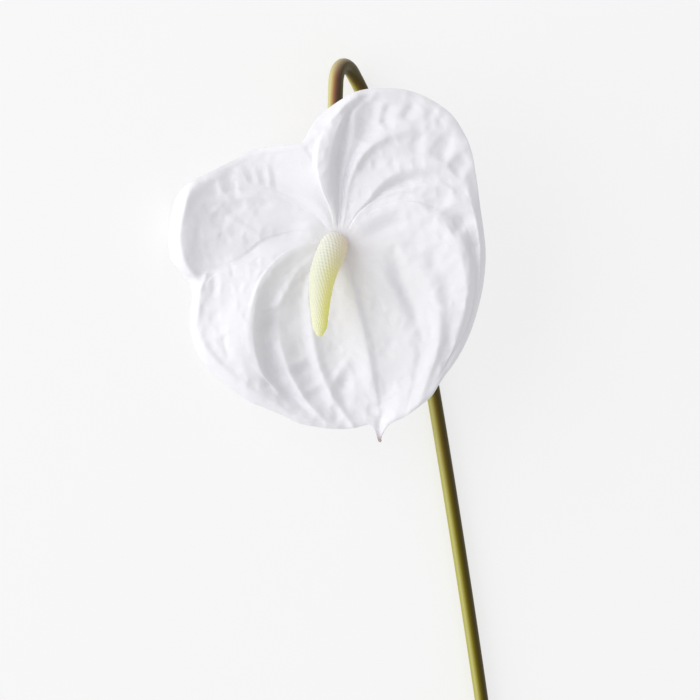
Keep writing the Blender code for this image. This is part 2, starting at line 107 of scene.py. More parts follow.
# Counter-clockwise from the notch: down the left side, round the tip and up the right side.
VEINS = [
    Vein(100, [(-5, 7.5, 3.2), (-9.5, 17, 6.8), (-12.8, 26, 7.2)],
         [(-16, 34.9), (-19.5, 33.7), (-27, 33.3)], 2, 0.5, (0, 0, 0, 0), 0.5),
    Vein(108, [(-8, 7, 2.8), (-20, 18, 3.2), (-27, 26, 2.6)],
         [(-33, 32.8), (-38, 31.6), (-44, 28)], 3, 1.2, (0, 0.1, 0.2, 0.2), 0.5),
    Vein(116, [(-10, 5.5, 1.2), (-24, 15.5, 0.6), (-36, 19.5, 1.0), (-46, 21.5, 1.6)],
         [(-54, 23), (-58.5, 20.8)], 3, 0.3, (0, 0.1, 0.1, 0), 0.5),
    Vein(120, [(-9.5, 4.2, 0.8), (-22, 12, 0.5), (-34, 16, 1.0), (-45, 16.8, 1.6), (-54, 16.6, 2.4),
               (-59, 17.2, 3.8)],
         [(-62.5, 18.4), (-66, 15.6)], 3, 2, (0, 0.1, 0.1, 0), 0.5),
    Vein(124, [(-9, 3, 0.6), (-20, 8.5, 0.4), (-30, 12, 1.0), (-38, 13, 1.5), (-46, 11, 1.4),
               (-54, 9.8, 2.5), (-60, 10.2, 4.8), (-63.6, 10.7, 7.4)],
         [(-69, 11), (-70.8, 4)], 6, 13, (0, 0.3, 0.5, 0.2), 0.3),
    Vein(131, [(-9, 0.8, 0.8), (-20, 2.5, 0.8), (-31, 3, 0.8), (-42, 1, 0.9), (-51, -2.3, 2.1),
               (-58, -3.6, 4.2), (-63.6, -4.3, 7.6)],
         [(-71.8, -3.5), (-71.2, -9), (-70.2, -13)], 6, 15, (0, 0.2, 0.2, 0), 0.5),
    Vein(138, [(-12, -0.8, 1.4), (-25, -2, 2.8), (-33, -4.5, 3.4), (-38.5, -9, 3.2), (-45, -13, 2.2),
               (-53, -15.5, 1.8), (-58.5, -17.3, 3.2), (-61.5, -18.3, 5.4)],
         [(-67, -17.5), (-65, -19.8)], 6, 8, (0.2, 0.7, 0.5, 0), 0.4),
    Vein(145, [(-12, -2.4, 1.4), (-25, -4.2, 3.1), (-34, -9, 4.0), (-41, -14, 3.9), (-50, -17.5, 2.8),
               (-57.5, -20.5, 2.8)],
         [(-63, -22), (-61.7, -25)], 4, 4, (0, 0, 0, 0), 0.5),
    Vein(152, [(-12, -3.4, 1.5), (-25, -5.8, 3.4), (-36, -12.5, 4.6), (-46, -18, 4.2), (-53.5, -21, 3.8),
               (-56.5, -25, 4.2)],
         [(-61.5, -28), (-62.3, -34), (-62.4, -40)], 4, 5, (0, 0, 0, 0), 0.5),
    Vein(160, [(-12, -4.5, 1.6), (-24, -7, 3.7), (-34, -14.5, 5.5), (-42, -24, 6.2), (-48, -34, 5.6),
               (-54, -43, 4.0)],
         [(-60.7, -48), (-58.2, -53.5), (-54, -58.5), (-46, -65.5)], 6, 5.5, (0, 0, 0, 0), 0.5),
    Vein(168, [(-11.5, -5, 1.7), (-21.8, -8.6, 4.2), (-31.2, -16.5, 6.8), (-37.8, -29, 8.3),
               (-40.8, -41, 8.5), (-41, -53, 7.2), (-39.2, -62, 5.2)],
         [(-38, -71), (-33.5, -73), (-25, -76.5)], 6.5, 3.8, (0, 0, 0, 0), 0.5),
    Vein(178, [(-11, -6.4, 1.8), (-19.6, -9.9, 4.2), (-27.8, -16.4, 6.8), (-33.8, -27, 8.8),
               (-36, -38, 9.2), (-35.8, -48.5, 8.8), (-32.8, -59, 6.3), (-26.4, -67.6, 3.1)],
         [(-17.5, -80), (-12, -81.2), (-7, -82)], 5, 1.8, (0.9, 2.1, 5.5, 0.6), 0.60),
    Vein(205, [(-10.5, -11, 1.4), (-18, -17.5, 3.2), (-23, -26.5, 3.8), (-25.2, -33, 2.6),
               (-25.6, -39.5, 1.6), (-25, -47, 3.4), (-22, -57.5, 3.4), (-15.5, -69.5, 2.4)],
         [(-3, -82.3), (1, -82.3)], 2, 1, (1.2, 2.6, 3.4, 1.3), 0.64),
    Vein(235, [(-8.5, -15, 1.1), (-12.8, -22, 1.9), (-13, -34, 2.2), (-11.8, -46, 2.9), (-9, -57, 2.8),
               (-4.5, -68, 2.2)],
         [(5, -81.9), (8, -81.1)], 2, 0.6, (0.3, 1.0, 1.6, 0.8), 0.3),
    Vein(262, [(-3.5, -16, 0.2), (-2.5, -30, 0.2), (0, -46, 0.8), (4, -60, 1.2), (8, -72, 1.2)],
         [(10.8, -80.6), (12.3, -82), (13.9, -84.5), (14.9, -87.3)], 1, 0.3, (0, 0, 0, 0), 0.5),
    Vein(290, [(1.4, -14, 1.5), (4.4, -26, 4.2), (8.6, -42, 4.9), (11.8, -58, 4.0), (14.2, -71, 1.8)],
         [(15.6, -87.6), (15.9, -86.3), (16.6, -84), (18, -82), (20.1, -79.9)],
         3, 0.4, (1.3, 1.7, 1.3, 0.2), 0.2),
    Vein(318, [(5.5, -12, 1.0), (13.5, -15, 3.0), (20.4, -25, 4.8), (26.6, -36, 5.9), (29.2, -48, 6.2),
               (27.8, -62, 5.2)],
         [(24.5, -77.8), (26.6, -76.6)], 2, 0.6, (0.6, 1.1, 0.8, 0.3), 0.3),
    Vein(342, [(8, -6.5, 1.2), (17, -7, 2.6), (28, -13.5, 5.2), (35.5, -22.5, 7.8), (39.5, -36, 9.3),
               (38.8, -50, 8.9), (34.5, -63, 7.0)],
         [(30.3, -74), (33.5, -71.5), (36.5, -69)], 2, 0.6, (0.6, 1.2, 1.3, 0.5), 0.32),
    Vein(5, [(5.2, -1.6, 0.9), (9.5, 2.8, 2.0), (18, 6.6, 4.0), (28, 7.4, 6.0), (38, 3.4, 8.2),
             (46, -5, 10.0), (50.4, -18, 10.8), (50.2, -33, 9.9), (46.8, -47, 7.4), (43.2, -55, 5.8)],
         [(41, -62), (46.5, -54.5), (50, -48.5), (53.5, -40.5)], 5, 1.2, (0, 0, 0, 0), 0.5),
    Vein(20, [(4.8, -0.2, 0.9), (9, 4.6, 2.0), (18, 9.8, 3.8), (30, 11.5, 5.6), (41, 8.5, 7.2),
              (49, 1.5, 7.8), (53.5, -9, 7.0), (55.6, -20, 5.6)],
         [(56.3, -31), (57.6, -25), (58.7, -16), (58.8, -9)], 8, 4.5, (0, 0, 0, 0), 0.5),
    Vein(34, [(4, 1.2, 0.9), (8, 6.6, 2.1), (16, 12.2, 3.2), (28, 16, 5.4), (40, 16, 7.6), (50, 11, 7.7)],
         [(57.8, 0), (56.6, 7.5), (55.5, 15)], 8, 4, (0.4, 2.4, 1.0, 0.2), 0.5),
    Vein(48, [(3, 1.8, 0.7), (5.6, 6.2, 1.8), (10, 10.8, 3.7), (16.3, 18.2, 5.9), (26, 23.8, 6.8),
              (36, 25.5, 7.5), (47, 24, 7.9)],
         [(54.3, 22.5), (52.6, 31.4), (50, 38)], 3, 1, (0.4, 2.2, 1.3, 0.3), 0.72),
    Vein(62, [(1.8, 9, 1.9), (2.8, 17, 4.0), (6, 25, 6.0), (10.4, 31.8, 6.4), (16, 35.8, 6.2),
              (24, 38.8, 6.0), (33, 41.5, 6.2)],
         [(44.8, 46), (38.8, 50.8), (31.7, 54.5), (25, 56.5)], 3, 1, (0.2, 0.3, 0.3, 0.2), 0.6),
    Vein(76, [(-0.8, 8, 1.3), (0, 18, 2.5), (2.2, 28, 3.8), (4.6, 37, 4.7), (5.6, 46, 5.2)],
         [(17.5, 57), (11, 56.8)], 3, 1.2, (1.2, 3.0, 2.3, 0.8), 0.46),
    Vein(86, [(-2.8, 7.4, 3.2), (-4.2, 14.5, 6.4), (-4.9, 22, 8.8), (-4.4, 30, 9.4), (-2.4, 38, 8.8),
              (0.6, 45.5, 7.6)],
         [(5, 55.3), (0.4, 52.9)], 5, 3, (0, 0, 0, 0), 0.5),
    Vein(93, [(-4.6, 8, 4.0), (-7.8, 15.5, 8.2), (-9.8, 25, 10.2), (-9.2, 34, 10.0), (-6.5, 42, 8.4)],
         [(-5.7, 48.8), (-9.8, 45.1), (-13.1, 40.2)], 8, 5.5, (0, 0, 0, 0), 0.5),
]

# The puckers of the net between the veins: x, y, half length, half width, turn in degrees, depth
PUCKERS = [
    (29, -7, 2.6, 2, -30, 0.7), (-29.5, -64, 3.6, 2.2, -55, 1.4),
    (-23.5, -69, 3.6, 2.2, -50, 1.2), (-18.5, -59, 3.6, 2.6, -30, 1.9), (-13.5, -68.5, 4, 2.2, -50, 1.5),
    (-7.5, -76.5, 3, 1.5, -60, 0.6), (-6.5, -58, 4.5, 2, -70, 0.5), (0.5, -64.5, 4, 2.6, 60, 1.5),
    (0.5, -71, 3, 2, -60, 0.9), (-2, -77, 3, 1.5, 70, 0.6), (-1, -48.5, 2.5, 1.5, 50, 0.4),
    (16.5, -63, 3.5, 2, -75, 0.4), (19, -48, 5, 2.5, 60, 0.5), (2.5, 48.5, 3, 1.6, 60, 0.9),
    (53, 18, 6, 2, -85, 0.7),
]

# A rib or a crease runs through its own points of (x, y). Its height dies away over left and right,
# as one looks along it from its first point; below zero it sinks.
Stroke = namedtuple("Stroke", "points height left right")

STROKES = [
    # The two lobes overlap a little below the notch
    Stroke([(-16.4, 35.2), (-14, 32), (-12.3, 28.5), (-11.2, 25.5)], -0.5, 0.6, 0.6),
    # Slots and cells of the right lobe, steep on their left and top
    Stroke([(16.2, 41), (17.2, 46), (19.4, 51.5)], -1.2, 0.9, 3.0),
    Stroke([(24.8, 44), (26.6, 47.5), (29.3, 51.5)], -1.2, 0.9, 3.0),
    Stroke([(34, 44), (36, 46.5), (38, 49)], -0.8, 0.9, 2.2),
    Stroke([(38.6, 42.8), (40.3, 45), (42.5, 46.5)], -0.6, 0.8, 2.0),
    Stroke([(29.6, 28), (30.2, 33), (32, 37), (33, 40)], -0.9, 2.8, 2.0),
    Stroke([(12.4, 22.5), (13.2, 26), (14.2, 29)], -0.3, 0.9, 1.6),
    Stroke([(19.8, 24.5), (20.4, 27), (21, 30)], -0.35, 0.9, 1.8),
    Stroke([(36, 27.5), (38, 32), (40.4, 36), (42, 39)], -0.6, 1.2, 3.0),
    Stroke([(39.6, 27), (42.2, 31), (43.6, 35), (43.2, 39)], -1.7, 4.0, 2.0),
    Stroke([(42.8, 23.2), (46, 26.8), (49.6, 29.8), (52.5, 31)], -0.6, 1.0, 3.0),
    Stroke([(45.6, 21.5), (49, 24.6), (51.8, 28.5)], -1.4, 3.4, 2.0),
    Stroke([(34.5, 7.5), (40, 9.6), (44.6, 15)], -1.0, 5.0, 2.4),
    Stroke([(39.6, 2.6), (42.4, 5.2), (46, 7.2), (50.8, 8.2)], -0.5, 1.4, 3.0),
    Stroke([(44.4, -2), (48.6, 0.8), (51.4, 6)], -2.0, 4.8, 2.2),
    Stroke([(49.5, -13), (53, -9.5), (55.6, -5)], -0.6, 3.4, 1.8),
    Stroke([(8, -3.4), (13, -1.6), (19, 0.8), (26.5, 3.4)], -1.6, 4.6, 2.2),
    Stroke([(8, 35), (9.7, 40), (10.8, 45), (11.8, 50), (12.8, 54)], -2.0, 4.0, 3.6),
    # Slots and ribs of the left lobe
    Stroke([(-27.2, 15), (-27.6, 20), (-28.8, 27)], -0.32, 0.9, 2.0),
    Stroke([(-29.2, 16.5), (-29.6, 21), (-30.8, 27)], 0.4, 0.7, 0.8),
    Stroke([(-31.6, 16.5), (-32.4, 20.5), (-34, 25.5)], -0.25, 0.8, 1.6),
    Stroke([(-33.6, 17), (-34.8, 21.5), (-36.4, 26)], 0.35, 0.8, 0.8),
    Stroke([(-36, 18), (-37.4, 21.5), (-39.5, 26)], -0.28, 0.9, 1.8),
    Stroke([(-38, 17.5), (-40, 22), (-42, 26)], 0.4, 0.8, 0.8),
    Stroke([(-41, 13.5), (-43, 17.5), (-46.5, 22.5)], 0.4, 0.9, 0.9),
    Stroke([(-44.5, 11), (-48, 14.5), (-51, 19.5)], 0.5, 0.9, 0.9),
    Stroke([(-43.4, 13.5), (-44.4, 19), (-45.6, 25)], -1.4, 4.5, 1.0),
    Stroke([(-51.6, 12), (-52, 16), (-53, 20)], -0.8, 4.4, 1.4),
    Stroke([(-47.4, 5.8), (-43, 7.5), (-38.8, 11.2)], -0.8, 3.0, 1.6),
    Stroke([(-36, 7.4), (-33, 9), (-29.8, 11.6)], -0.5, 3.6, 2.0),
    Stroke([(-40.2, 11.5), (-38.4, 8), (-35, 5)], 0.35, 0.9, 0.9),
    Stroke([(-49.6, -1), (-48.8, 3), (-48.6, 6.5)], -0.8, 5.0, 1.6),
    Stroke([(-60, 8), (-57, 6.2), (-53, 6), (-50, 8)], 0.5, 1.0, 1.0),
    Stroke([(-47, 4.8), (-41, 1.4), (-35, -2.4)], 0.35, 0.9, 0.9),
    Stroke([(-13, -1), (-21, -2), (-28.5, -3.8), (-34.5, -6.8), (-38.8, -10.2), (-43.6, -15.5)],
           -2.3, 3.4, 4.0),
    Stroke([(-46, -13.5), (-45.2, -17), (-44, -21)], -0.5, 2.2, 0.8),
    # The waist on the left, and the hollow that runs inside the rolled edge below it
    Stroke([(-59, -27), (-56.5, -22), (-55.2, -17.5)], 0.7, 1.0, 1.0),
    Stroke([(-52.8, -18), (-52, -23), (-52.8, -29)], -0.9, 1.6, 1.6),
    Stroke([(-54.6, -28), (-56.8, -33.5), (-57.8, -39), (-55.5, -46), (-51, -52.5), (-46, -57.5),
            (-41, -62)], -0.9, 2.5, 1.2),
    Stroke([(-48.8, -43.5), (-47.8, -48), (-46.4, -54)], -0.7, 2.0, 1.0),
    # Cross ribs and cells at the lower left and below the spadix
    Stroke([(-34.5, -35), (-30.5, -34), (-27, -32), (-24.8, -29), (-23.4, -25)], 1.3, 1.4, 1.4),
    Stroke([(-35, -43.5), (-32, -40.5), (-28, -38.8), (-23.5, -39.4), (-19.5, -41.5)], -1.2, 2.0, 4.5),
    Stroke([(-31.5, -47.2), (-29, -46), (-26.8, -44.6)], 0.8, 1.2, 1.2),
    Stroke([(-30, -60.5), (-26.5, -60.5), (-23.6, -62.5), (-22.4, -66)], 0.9, 1.2, 1.2),
    Stroke([(-22.6, -57), (-19.5, -55.8), (-16, -54.2), (-13, -52.5)], 1.1, 1.4, 2.2),
    Stroke([(-17.5, -69), (-13.5, -66.5), (-10.5, -64.5), (-7.5, -62.5)], 1.0, 1.4, 2.0),
    Stroke([(-6, -64), (-3, -61.5), (0, -58), (2.6, -54), (4, -50)], 1.0, 1.4, 2.4),
    Stroke([(-4.5, -66), (-4.5, -70.5), (-5, -75.5)], 0.6, 1.2, 1.2),
    # Furrows of the right half
    Stroke([(20.6, -7), (22, -14), (23.6, -20), (25.6, -26), (28.6, -32), (30.6, -42)], -1.8, 2.0, 3.4),
    Stroke([(35.8, -8), (37.6, -12), (38.6, -18)], -0.9, 2.4, 3.6),
    Stroke([(42, -18.5), (43.4, -24), (43.8, -33)], -0.7, 2.6, 3.2),
    Stroke([(43, -35), (44.2, -42), (43.8, -50), (41.4, -58)], -0.6, 2.4, 2.4),
    # The tip is a narrow channel
    Stroke([(15.4, -77), (15.4, -81.5), (15.2, -86.8)], -1.3, 1.5, 1.5),
]

STROKE_STEPS = 16            # straight steps that a stroke is read in
STROKE_REACH = 2.6           # times its width, past which a stroke is nothing
STROKE_FADE = 5              # steps over which its ends fade in and out

# The fine net of veins all over the blade: random cells that sink a little between raised walls
NET_SEED = 5
NET_CELLS = 48               # along each side of the square they are drawn on
NET_CELL = 5.6               # size of a cell
NET_LOOSE = (0.1, 0.9)       # where in its own square a cell's middle may stand
NET_DEPTH = 0.5              # of the deepest cell
NET_WALL = 0.38              # how soon a cell sinks from its walls, in cell sizes
NET_SWELL = 13.0             # size of the slow swell under the cells
NET_SWELL_HEIGHT = 0.45
NET_CALM = (-20, 18, 17)     # the blade is nearly smooth round this place, over this width
NET_CALM_SHARE = 0.8         # of the net that is gone there

# Spadix: its axis as (x, y, z, radius)
GAP = 0.3                    # between the pieces at the seat
SPADIX_AXIS = [(-2.9, -6.9, GAP, 5.3), (-3.3, -7.6, 3.5, 5.5), (-4.3, -10.2, 8.0, 5.7),
               (-6.2, -14.8, 12.2, 5.6), (-8.0, -21.0, 15.6, 5.1), (-8.8, -29.0, 18.0, 4.2),
               (-8.9, -37.0, 19.4, 3.2), (-8.9, -41.8, 20.0, 2.4), (-9.0, -43.6, 20.2, 1.5)]
FLORETS_ROUND = 24
FLORET_ROWS = 34
FLORET_SHIFT = 0.5           # florets that each row is set on from the last
CORNERS_A_FLORET = 8
FLORET_HEIGHT = 0.2
FLORET_FADE = 1.5            # rows over which the florets fade in and out at the ends
STIGMA_HEIGHT = 0.1
STIGMA_POWER = 5             # above 1 narrows the stigma
TIP_CAP = 1.0                # how far the closed tip stands past its last ring
TIP_RINGS = 4
TIP_CROWN = 0.7              # how much of the florets' own tone the tip has

# Stalk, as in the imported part: the run on the table as (x, y, how far it stands off the table,
# radius), the hook as (x, y, share of the rise, radius), and the leg that comes down behind the
# spathe as (x, y, z, radius)
STALK_SIDES = 48
STALK_STEP = 2.0             # between rings
LOW_RUN = [(86.3, -394.0, 0.0, 2.88), (74.0, -310.0, 0.8, 2.88), (58.9, -197.8, 1.3, 2.88),
           (49.9, -138.5, 1.1, 2.95), (38.9, -71.1, 0.6, 3.0), (31.4, -29.0, 0.25, 3.0),
           (25.1, 1.2, 0.05, 3.0), (17.1, 33.8, 0.0, 3.0), (12.0, 49.0, 0.3, 3.0)]
HOOK = [(8.1, 58.6, 0.05, 3.0), (5.1, 64.2, 0.15, 3.02), (3.6, 66.6, 0.27, 3.05), (1.6, 68.0, 0.42, 3.1),
        (-0.2, 67.6, 0.59, 3.15), (-1.7, 65.3, 0.76, 3.15), (-2.4, 62.3, 0.88, 3.15),
        (-2.6, 58.6, 0.96, 3.15)]
FRONT_LEG = [(-2.8, 52.0, -6.4, 3.15), (-2.9, 40.0, -6.4, 3.1), (-2.8, 24.0, -6.8, 3.0),
             (-2.6, 8.0, -7.2, 3.0), (-2.5, -1.5, -6.2, 3.1), (-2.5, -5.2, -3.6, 3.3),
             (SEAT[0], SEAT[1], -BLADE - GAP, 3.6)]
STALK_GROOVES = 11
GROOVE_DEPTH = 0.045
CUT_RINGS = 6                # rings across the cut end
CUT_HOLLOW = 0.35            # how far the cut's middle has dried in
TABLE = -28.0077             # the table under the foot of the spadix, square to it

# Finishes. Colours are linear red, green and blue, and a ramp has its places and their colours.
PAINTED_LIGHT_SIDE = (-0.94, 0.34, 0)     # the window's side: painted light makes the spadix and the stalk palest here, painted shade darkest away from it
BRACT_WHITES = ((0.885, 0.876, 0.922), (0.915, 0.908, 0.945))
BRACT_ROUGHNESS = 0.5
BRACT_CLOUDS = 0.12          # roughness that its clouds add
# Painted shade: the grey that the blade's hollows go towards, and how much of it they take
PAINTED_SHADE_GREY = (0.76, 0.76, 0.80)
PAINTED_SHADE_SHARE = 0.5
FLECK_PINK = (0.80, 0.62, 0.60)
FLECK_SHARE = 0.25
TIP_BROWN = (0.42, 0.33, 0.34)
PAINTED_LIT_FLORETS = [(0.0, (0.88, 0.87, 0.80)), (0.3, (0.83, 0.84, 0.74)), (0.5, (0.80, 0.82, 0.66)),
                (0.8, (0.83, 0.84, 0.65)), (1.0, (0.86, 0.87, 0.57))]
PAINTED_SHADED_FLORETS = [(0.0, (0.86, 0.72, 0.60)), (0.25, (0.89, 0.81, 0.56)), (0.5, (0.97, 0.93, 0.38)),
                (0.8, (0.99, 0.96, 0.27)), (1.0, (0.99, 0.98, 0.30))]
FLORET_GAPS = (0.97, 0.96, 0.90)
# Ramps from the side away from the window to the window side: the airbrushed two-tone, darkened by
# painted shade away from the window and lightened by painted light towards it
OLIVE_PAINTED_LIGHT_AND_SHADE = [(0.1, (0.09, 0.075, 0.03)), (0.25, (0.073, 0.052, 0.011)), (0.38, (0.093, 0.072, 0.004)),
         (0.5, (0.175, 0.140, 0.010)), (0.62, (0.34, 0.31, 0.052)), (0.75, (0.52, 0.51, 0.18)),
         (0.87, (0.44, 0.41, 0.10))]
RUSSET_PAINTED_LIGHT_AND_SHADE = [(0.1, (0.10, 0.08, 0.035)), (0.25, (0.07, 0.052, 0.026)), (0.38, (0.11, 0.058, 0.034)),
          (0.5, (0.17, 0.082, 0.048)), (0.62, (0.32, 0.15, 0.075)), (0.75, (0.50, 0.37, 0.14)),
          (0.87, (0.62, 0.58, 0.28))]
FAINT_RUSSET = 0.28          # share of it on the upper stalk
# Painted light: the stalk turns paler where it faces up, at the hook's top, as if lit from above
HOOK_PAINTED_LIGHT = (0.50, 0.42, 0.30)
PAINTED_TOP_LIGHT_SHARE = 0.6
CUT_FLESH = ((0.42, 0.40, 0.20), (0.62, 0.58, 0.36))
STALK_ROUGHNESS = 0.36
STALK_CLOUDS = 0.14
CUT_ROUGHER = 0.3


def through(knots, values, at):
    """A smooth curve through the values at their knots, read at every place in at."""
    knots = np.asarray(knots, float)
    values = np.asarray(values, float)
    slopes = np.gradient(values, knots, axis=0)
    i = np.clip(np.searchsorted(knots, at, side="right") - 1, 0, len(knots) - 2)
    column = (-1,) + (1,) * (values.ndim - 1)
    span = (knots[i + 1] - knots[i]).reshape(column)
    s = (at - knots[i]).reshape(column) / span
    rise = values[i] * (1 + 2 * s) * (1 - s) ** 2 + values[i + 1] * s * s * (3 - 2 * s)
    return rise + span * (slopes[i] * s * (1 - s) ** 2 + slopes[i + 1] * s * s * (s - 1))


def along(points, at, axes=2):
    """The points of a path read at shares of its length, measured over its first two or three axes."""
    points = np.array(points, float)
    steps = np.linalg.norm(np.diff(points[:, :axes], axis=0), axis=1)
    knots = np.concatenate([[0], np.cumsum(steps)])
    return through(knots / knots[-1], points, at)


def round_trip(knots, values, at, wrap=4):
    """A smooth curve that closes on itself, through the values at their knots."""
    knots = np.asarray(knots, float)
    values = np.asarray(values, float)
    turn = knots[-1]
    knots = np.concatenate([knots[-wrap - 1:-1] - turn, knots, knots[1:wrap + 1] + turn])
    values = np.concatenate([values[-wrap:], values, values[:wrap + 1]])
    return through(knots, values, at)


def steps_between(points):
    """Knots for a closed curve: the roots of its steps added up, which keeps it from looping."""
    points = np.array(points, float)[:, :2]
    steps = np.linalg.norm(np.roll(points, -1, axis=0) - points, axis=1)
    return np.concatenate([[0], np.cumsum(np.sqrt(steps))])


def between_veins(values, at):
    """Values given vein by vein, read at every place in at, where whole numbers are veins."""
    knots = steps_between([along(vein_points(vein), np.array([WIDE_SHARE]))[0] for vein in VEINS])
    return round_trip(knots, values, np.interp(at, np.arange(len(knots)), knots))


def vein_points(vein):
    """A vein's path from the seat's rim to the spathe's edge."""
    turn = math.radians(vein.leaves)
    start = (SEAT[0] + SEAT_RADIUS * math.cos(turn), SEAT[1] + SEAT_RADIUS * math.sin(turn), 0)
    return [start, *vein.path, (*vein.edge[0], vein.path[-1][2])]


def edge_curve(at):
    """The spathe's outline, where whole numbers in at are the ends of the veins."""
    points = [point for vein in VEINS for point in vein.edge]
    knots = steps_between(points)
    starts = np.cumsum([0] + [len(vein.edge) for vein in VEINS])
    return round_trip(knots, points, np.interp(at, np.arange(len(starts)), knots[starts]))


def furrow_depth(at, shares):
    """How far the blade sinks between two veins."""
    numbers = np.floor(at).astype(int)
    across = at - numbers
    low = np.array([VEINS[n].low for n in numbers])
    flank = np.where(across < low, across / low, (1 - across) / (1 - low))
    stations = (0, *FURROW_STATIONS, 1)
    sinks = [(0, *vein.furrow, FURROW_AT_EDGE * vein.furrow[-1]) for vein in VEINS]
    depths = [np.interp(shares, stations, sink) for sink in sinks]
    depth = np.array([depths[n] for n in numbers])
    return depth * (np.sin(0.5 * np.pi * flank) ** FLANK_POWER)[:, None]


def rolled_edge(at, shares):
    """How far the edge has rolled back."""
    lengths = []
    for vein in VEINS:
        points = np.array(vein_points(vein))
        lengths.append(np.linalg.norm(np.diff(points[:, :2], axis=0), axis=1).sum())
    fall = between_veins([vein.fall for vein in VEINS], at)[:, None]
    roll = between_veins([vein.roll / length for vein, length in zip(VEINS, lengths)], at)[:, None]
    return fall * np.clip((shares[None, :] - 1 + roll) / roll, 0, 1) ** ROLL_POWER


def pucker_depth(x, y):
    """How far the puckers sink the blade at each point."""
    depth = np.zeros_like(x)
    for px, py, half_length, half_width, turn, deep in PUCKERS:
        c = math.cos(math.radians(turn))
        s = math.sin(math.radians(turn))
        lengthwise = ((x - px) * c + (y - py) * s) / half_length
        crosswise = ((y - py) * c - (x - px) * s) / half_width
        depth += deep * np.exp(-lengthwise ** 2 - crosswise ** 2)
    return depth


def stroke_height(x, y):
    """How far the ribs raise, and the creases sink, the blade at each point."""
    height = np.zeros_like(x)
    for stroke in STROKES:
        path = along(stroke.points, np.linspace(0, 1, STROKE_STEPS + 1))
        reach = STROKE_REACH * max(stroke.left, stroke.right)
        near = (x > path[:, 0].min() - reach) & (x < path[:, 0].max() + reach)
        near &= (y > path[:, 1].min() - reach) & (y < path[:, 1].max() + reach)
        px = x[near]
        py = y[near]
        best = np.full(px.shape, np.inf)
        found = np.zeros(px.shape)
        for number, (start, end) in enumerate(zip(path, path[1:])):
            run = end - start
            length = max(np.hypot(*run), SAME_PLACE)
            t = np.clip(((px - start[0]) * run[0] + (py - start[1]) * run[1]) / length ** 2, 0, 1)
            dx = px - start[0] - t * run[0]
            dy = py - start[1] - t * run[1]
            distance = np.hypot(dx, dy)
            width = np.where(run[0] * dy - run[1] * dx > 0, stroke.left, stroke.right)
            fade = np.clip(np.minimum(number + t, STROKE_STEPS - number - t) / STROKE_FADE, 0, 1)
            nearer = distance / width < best
            best = np.where(nearer, distance / width, best)
            found = np.where(nearer, np.sin(0.5 * np.pi * fade), found)
        height[near] += stroke.height * found * np.exp(-best ** 2)
    return height


def net_relief(x, y):
    """The fine net of veins: cells sunk between their walls, on a slow swell."""
    dice = np.random.default_rng(NET_SEED)
    seeds = dice.uniform(*NET_LOOSE, (NET_CELLS, NET_CELLS, 2))
    depths = dice.uniform(0, 1, (NET_CELLS, NET_CELLS))
    u = x / NET_CELL + NET_CELLS / 2
    v = y / NET_CELL + NET_CELLS / 2
    first = np.full(x.shape, np.inf)
    second = first.copy()
    deep = np.zeros(x.shape)
    for across in (-1, 0, 1):
        for up in (-1, 0, 1):
            i = np.floor(u).astype(int) + across
            j = np.floor(v).astype(int) + up
            distance = np.hypot(i + seeds[i, j, 0] - u, j + seeds[i, j, 1] - v)
            nearer = distance < first
            second = np.where(nearer, first, np.minimum(second, distance))
            deep = np.where(nearer, depths[i, j], deep)
            first = np.where(nearer, distance, first)
    cells = -NET_DEPTH * deep * (1 - np.exp(-((second - first) / NET_WALL) ** 2))
    swell = dice.uniform(-1, 1, (NET_CELLS, NET_CELLS))
    u = x / NET_SWELL + NET_CELLS / 2
    v = y / NET_SWELL + NET_CELLS / 2
    i = np.floor(u).astype(int)
    j = np.floor(v).astype(int)
    s = (u - i) ** 2 * (3 - 2 * (u - i))
    t = (v - j) ** 2 * (3 - 2 * (v - j))
    rise = (swell[i, j] * (1 - s) + swell[i + 1, j] * s) * (1 - t)
    rise += (swell[i, j + 1] * (1 - s) + swell[i + 1, j + 1] * s) * t
    calm = np.exp(-((x - NET_CALM[0]) ** 2 + (y - NET_CALM[1]) ** 2) / NET_CALM[2] ** 2)
    return (cells + NET_SWELL_HEIGHT * rise) * (1 - NET_CALM_SHARE * calm)


def spathe_face(at, shares):
    """The spathe's front: points for every place round the flower and share of the way out."""
    veins = [along(vein_points(vein), shares) for vein in VEINS]
    face = between_veins(veins, at)
    drift = edge_curve(at) - face[:, -1, :2]
    face[:, :, :2] += shares[None, :, None] ** DRIFT_POWER * drift[:, None, :]
    x = face[:, :, 0]
    y = face[:, :, 1]
    relief = stroke_height(x, y) - pucker_depth(x, y) + net_relief(x, y)
    face[:, :, 2] += relief * np.clip(shares / SEAT_SHARE, 0, 1)
    face[:, :, 2] -= furrow_depth(at, shares) + rolled_edge(at, shares)
    return face


def spathe_columns():
    """Places round the flower for the net's columns, closer where the veins stand further apart."""
    middles = [along(vein_points(vein), np.array([WIDE_SHARE]))[0, :2] for vein in VEINS]
    places = []
    for number, middle in enumerate(middles):
        width = np.linalg.norm(middles[(number + 1) % len(middles)] - middle)
        count = min(max(round(width / COLUMN_EVERY), FEWEST_COLUMNS), MOST_COLUMNS)
        places += [number + step / count for step in range(count)]
    return np.array(places)


def net_normals(rings):
    """The normals of rings of points that close on themselves, all on the viewer's side."""
    round_step = np.roll(rings, -1, axis=1) - np.roll(rings, 1, axis=1)
    out_step = np.gradient(rings, axis=0)
    normals = np.cross(round_step, out_step)
    normals /= np.maximum(np.linalg.norm(normals, axis=2, keepdims=True), SAME_PLACE)
    return normals * np.sign(normals[:, :, 2].mean())


def unit(vectors):
    """Vectors brought to a length of one."""
    return vectors / np.maximum(np.linalg.norm(vectors, axis=-1, keepdims=True), SAME_PLACE)


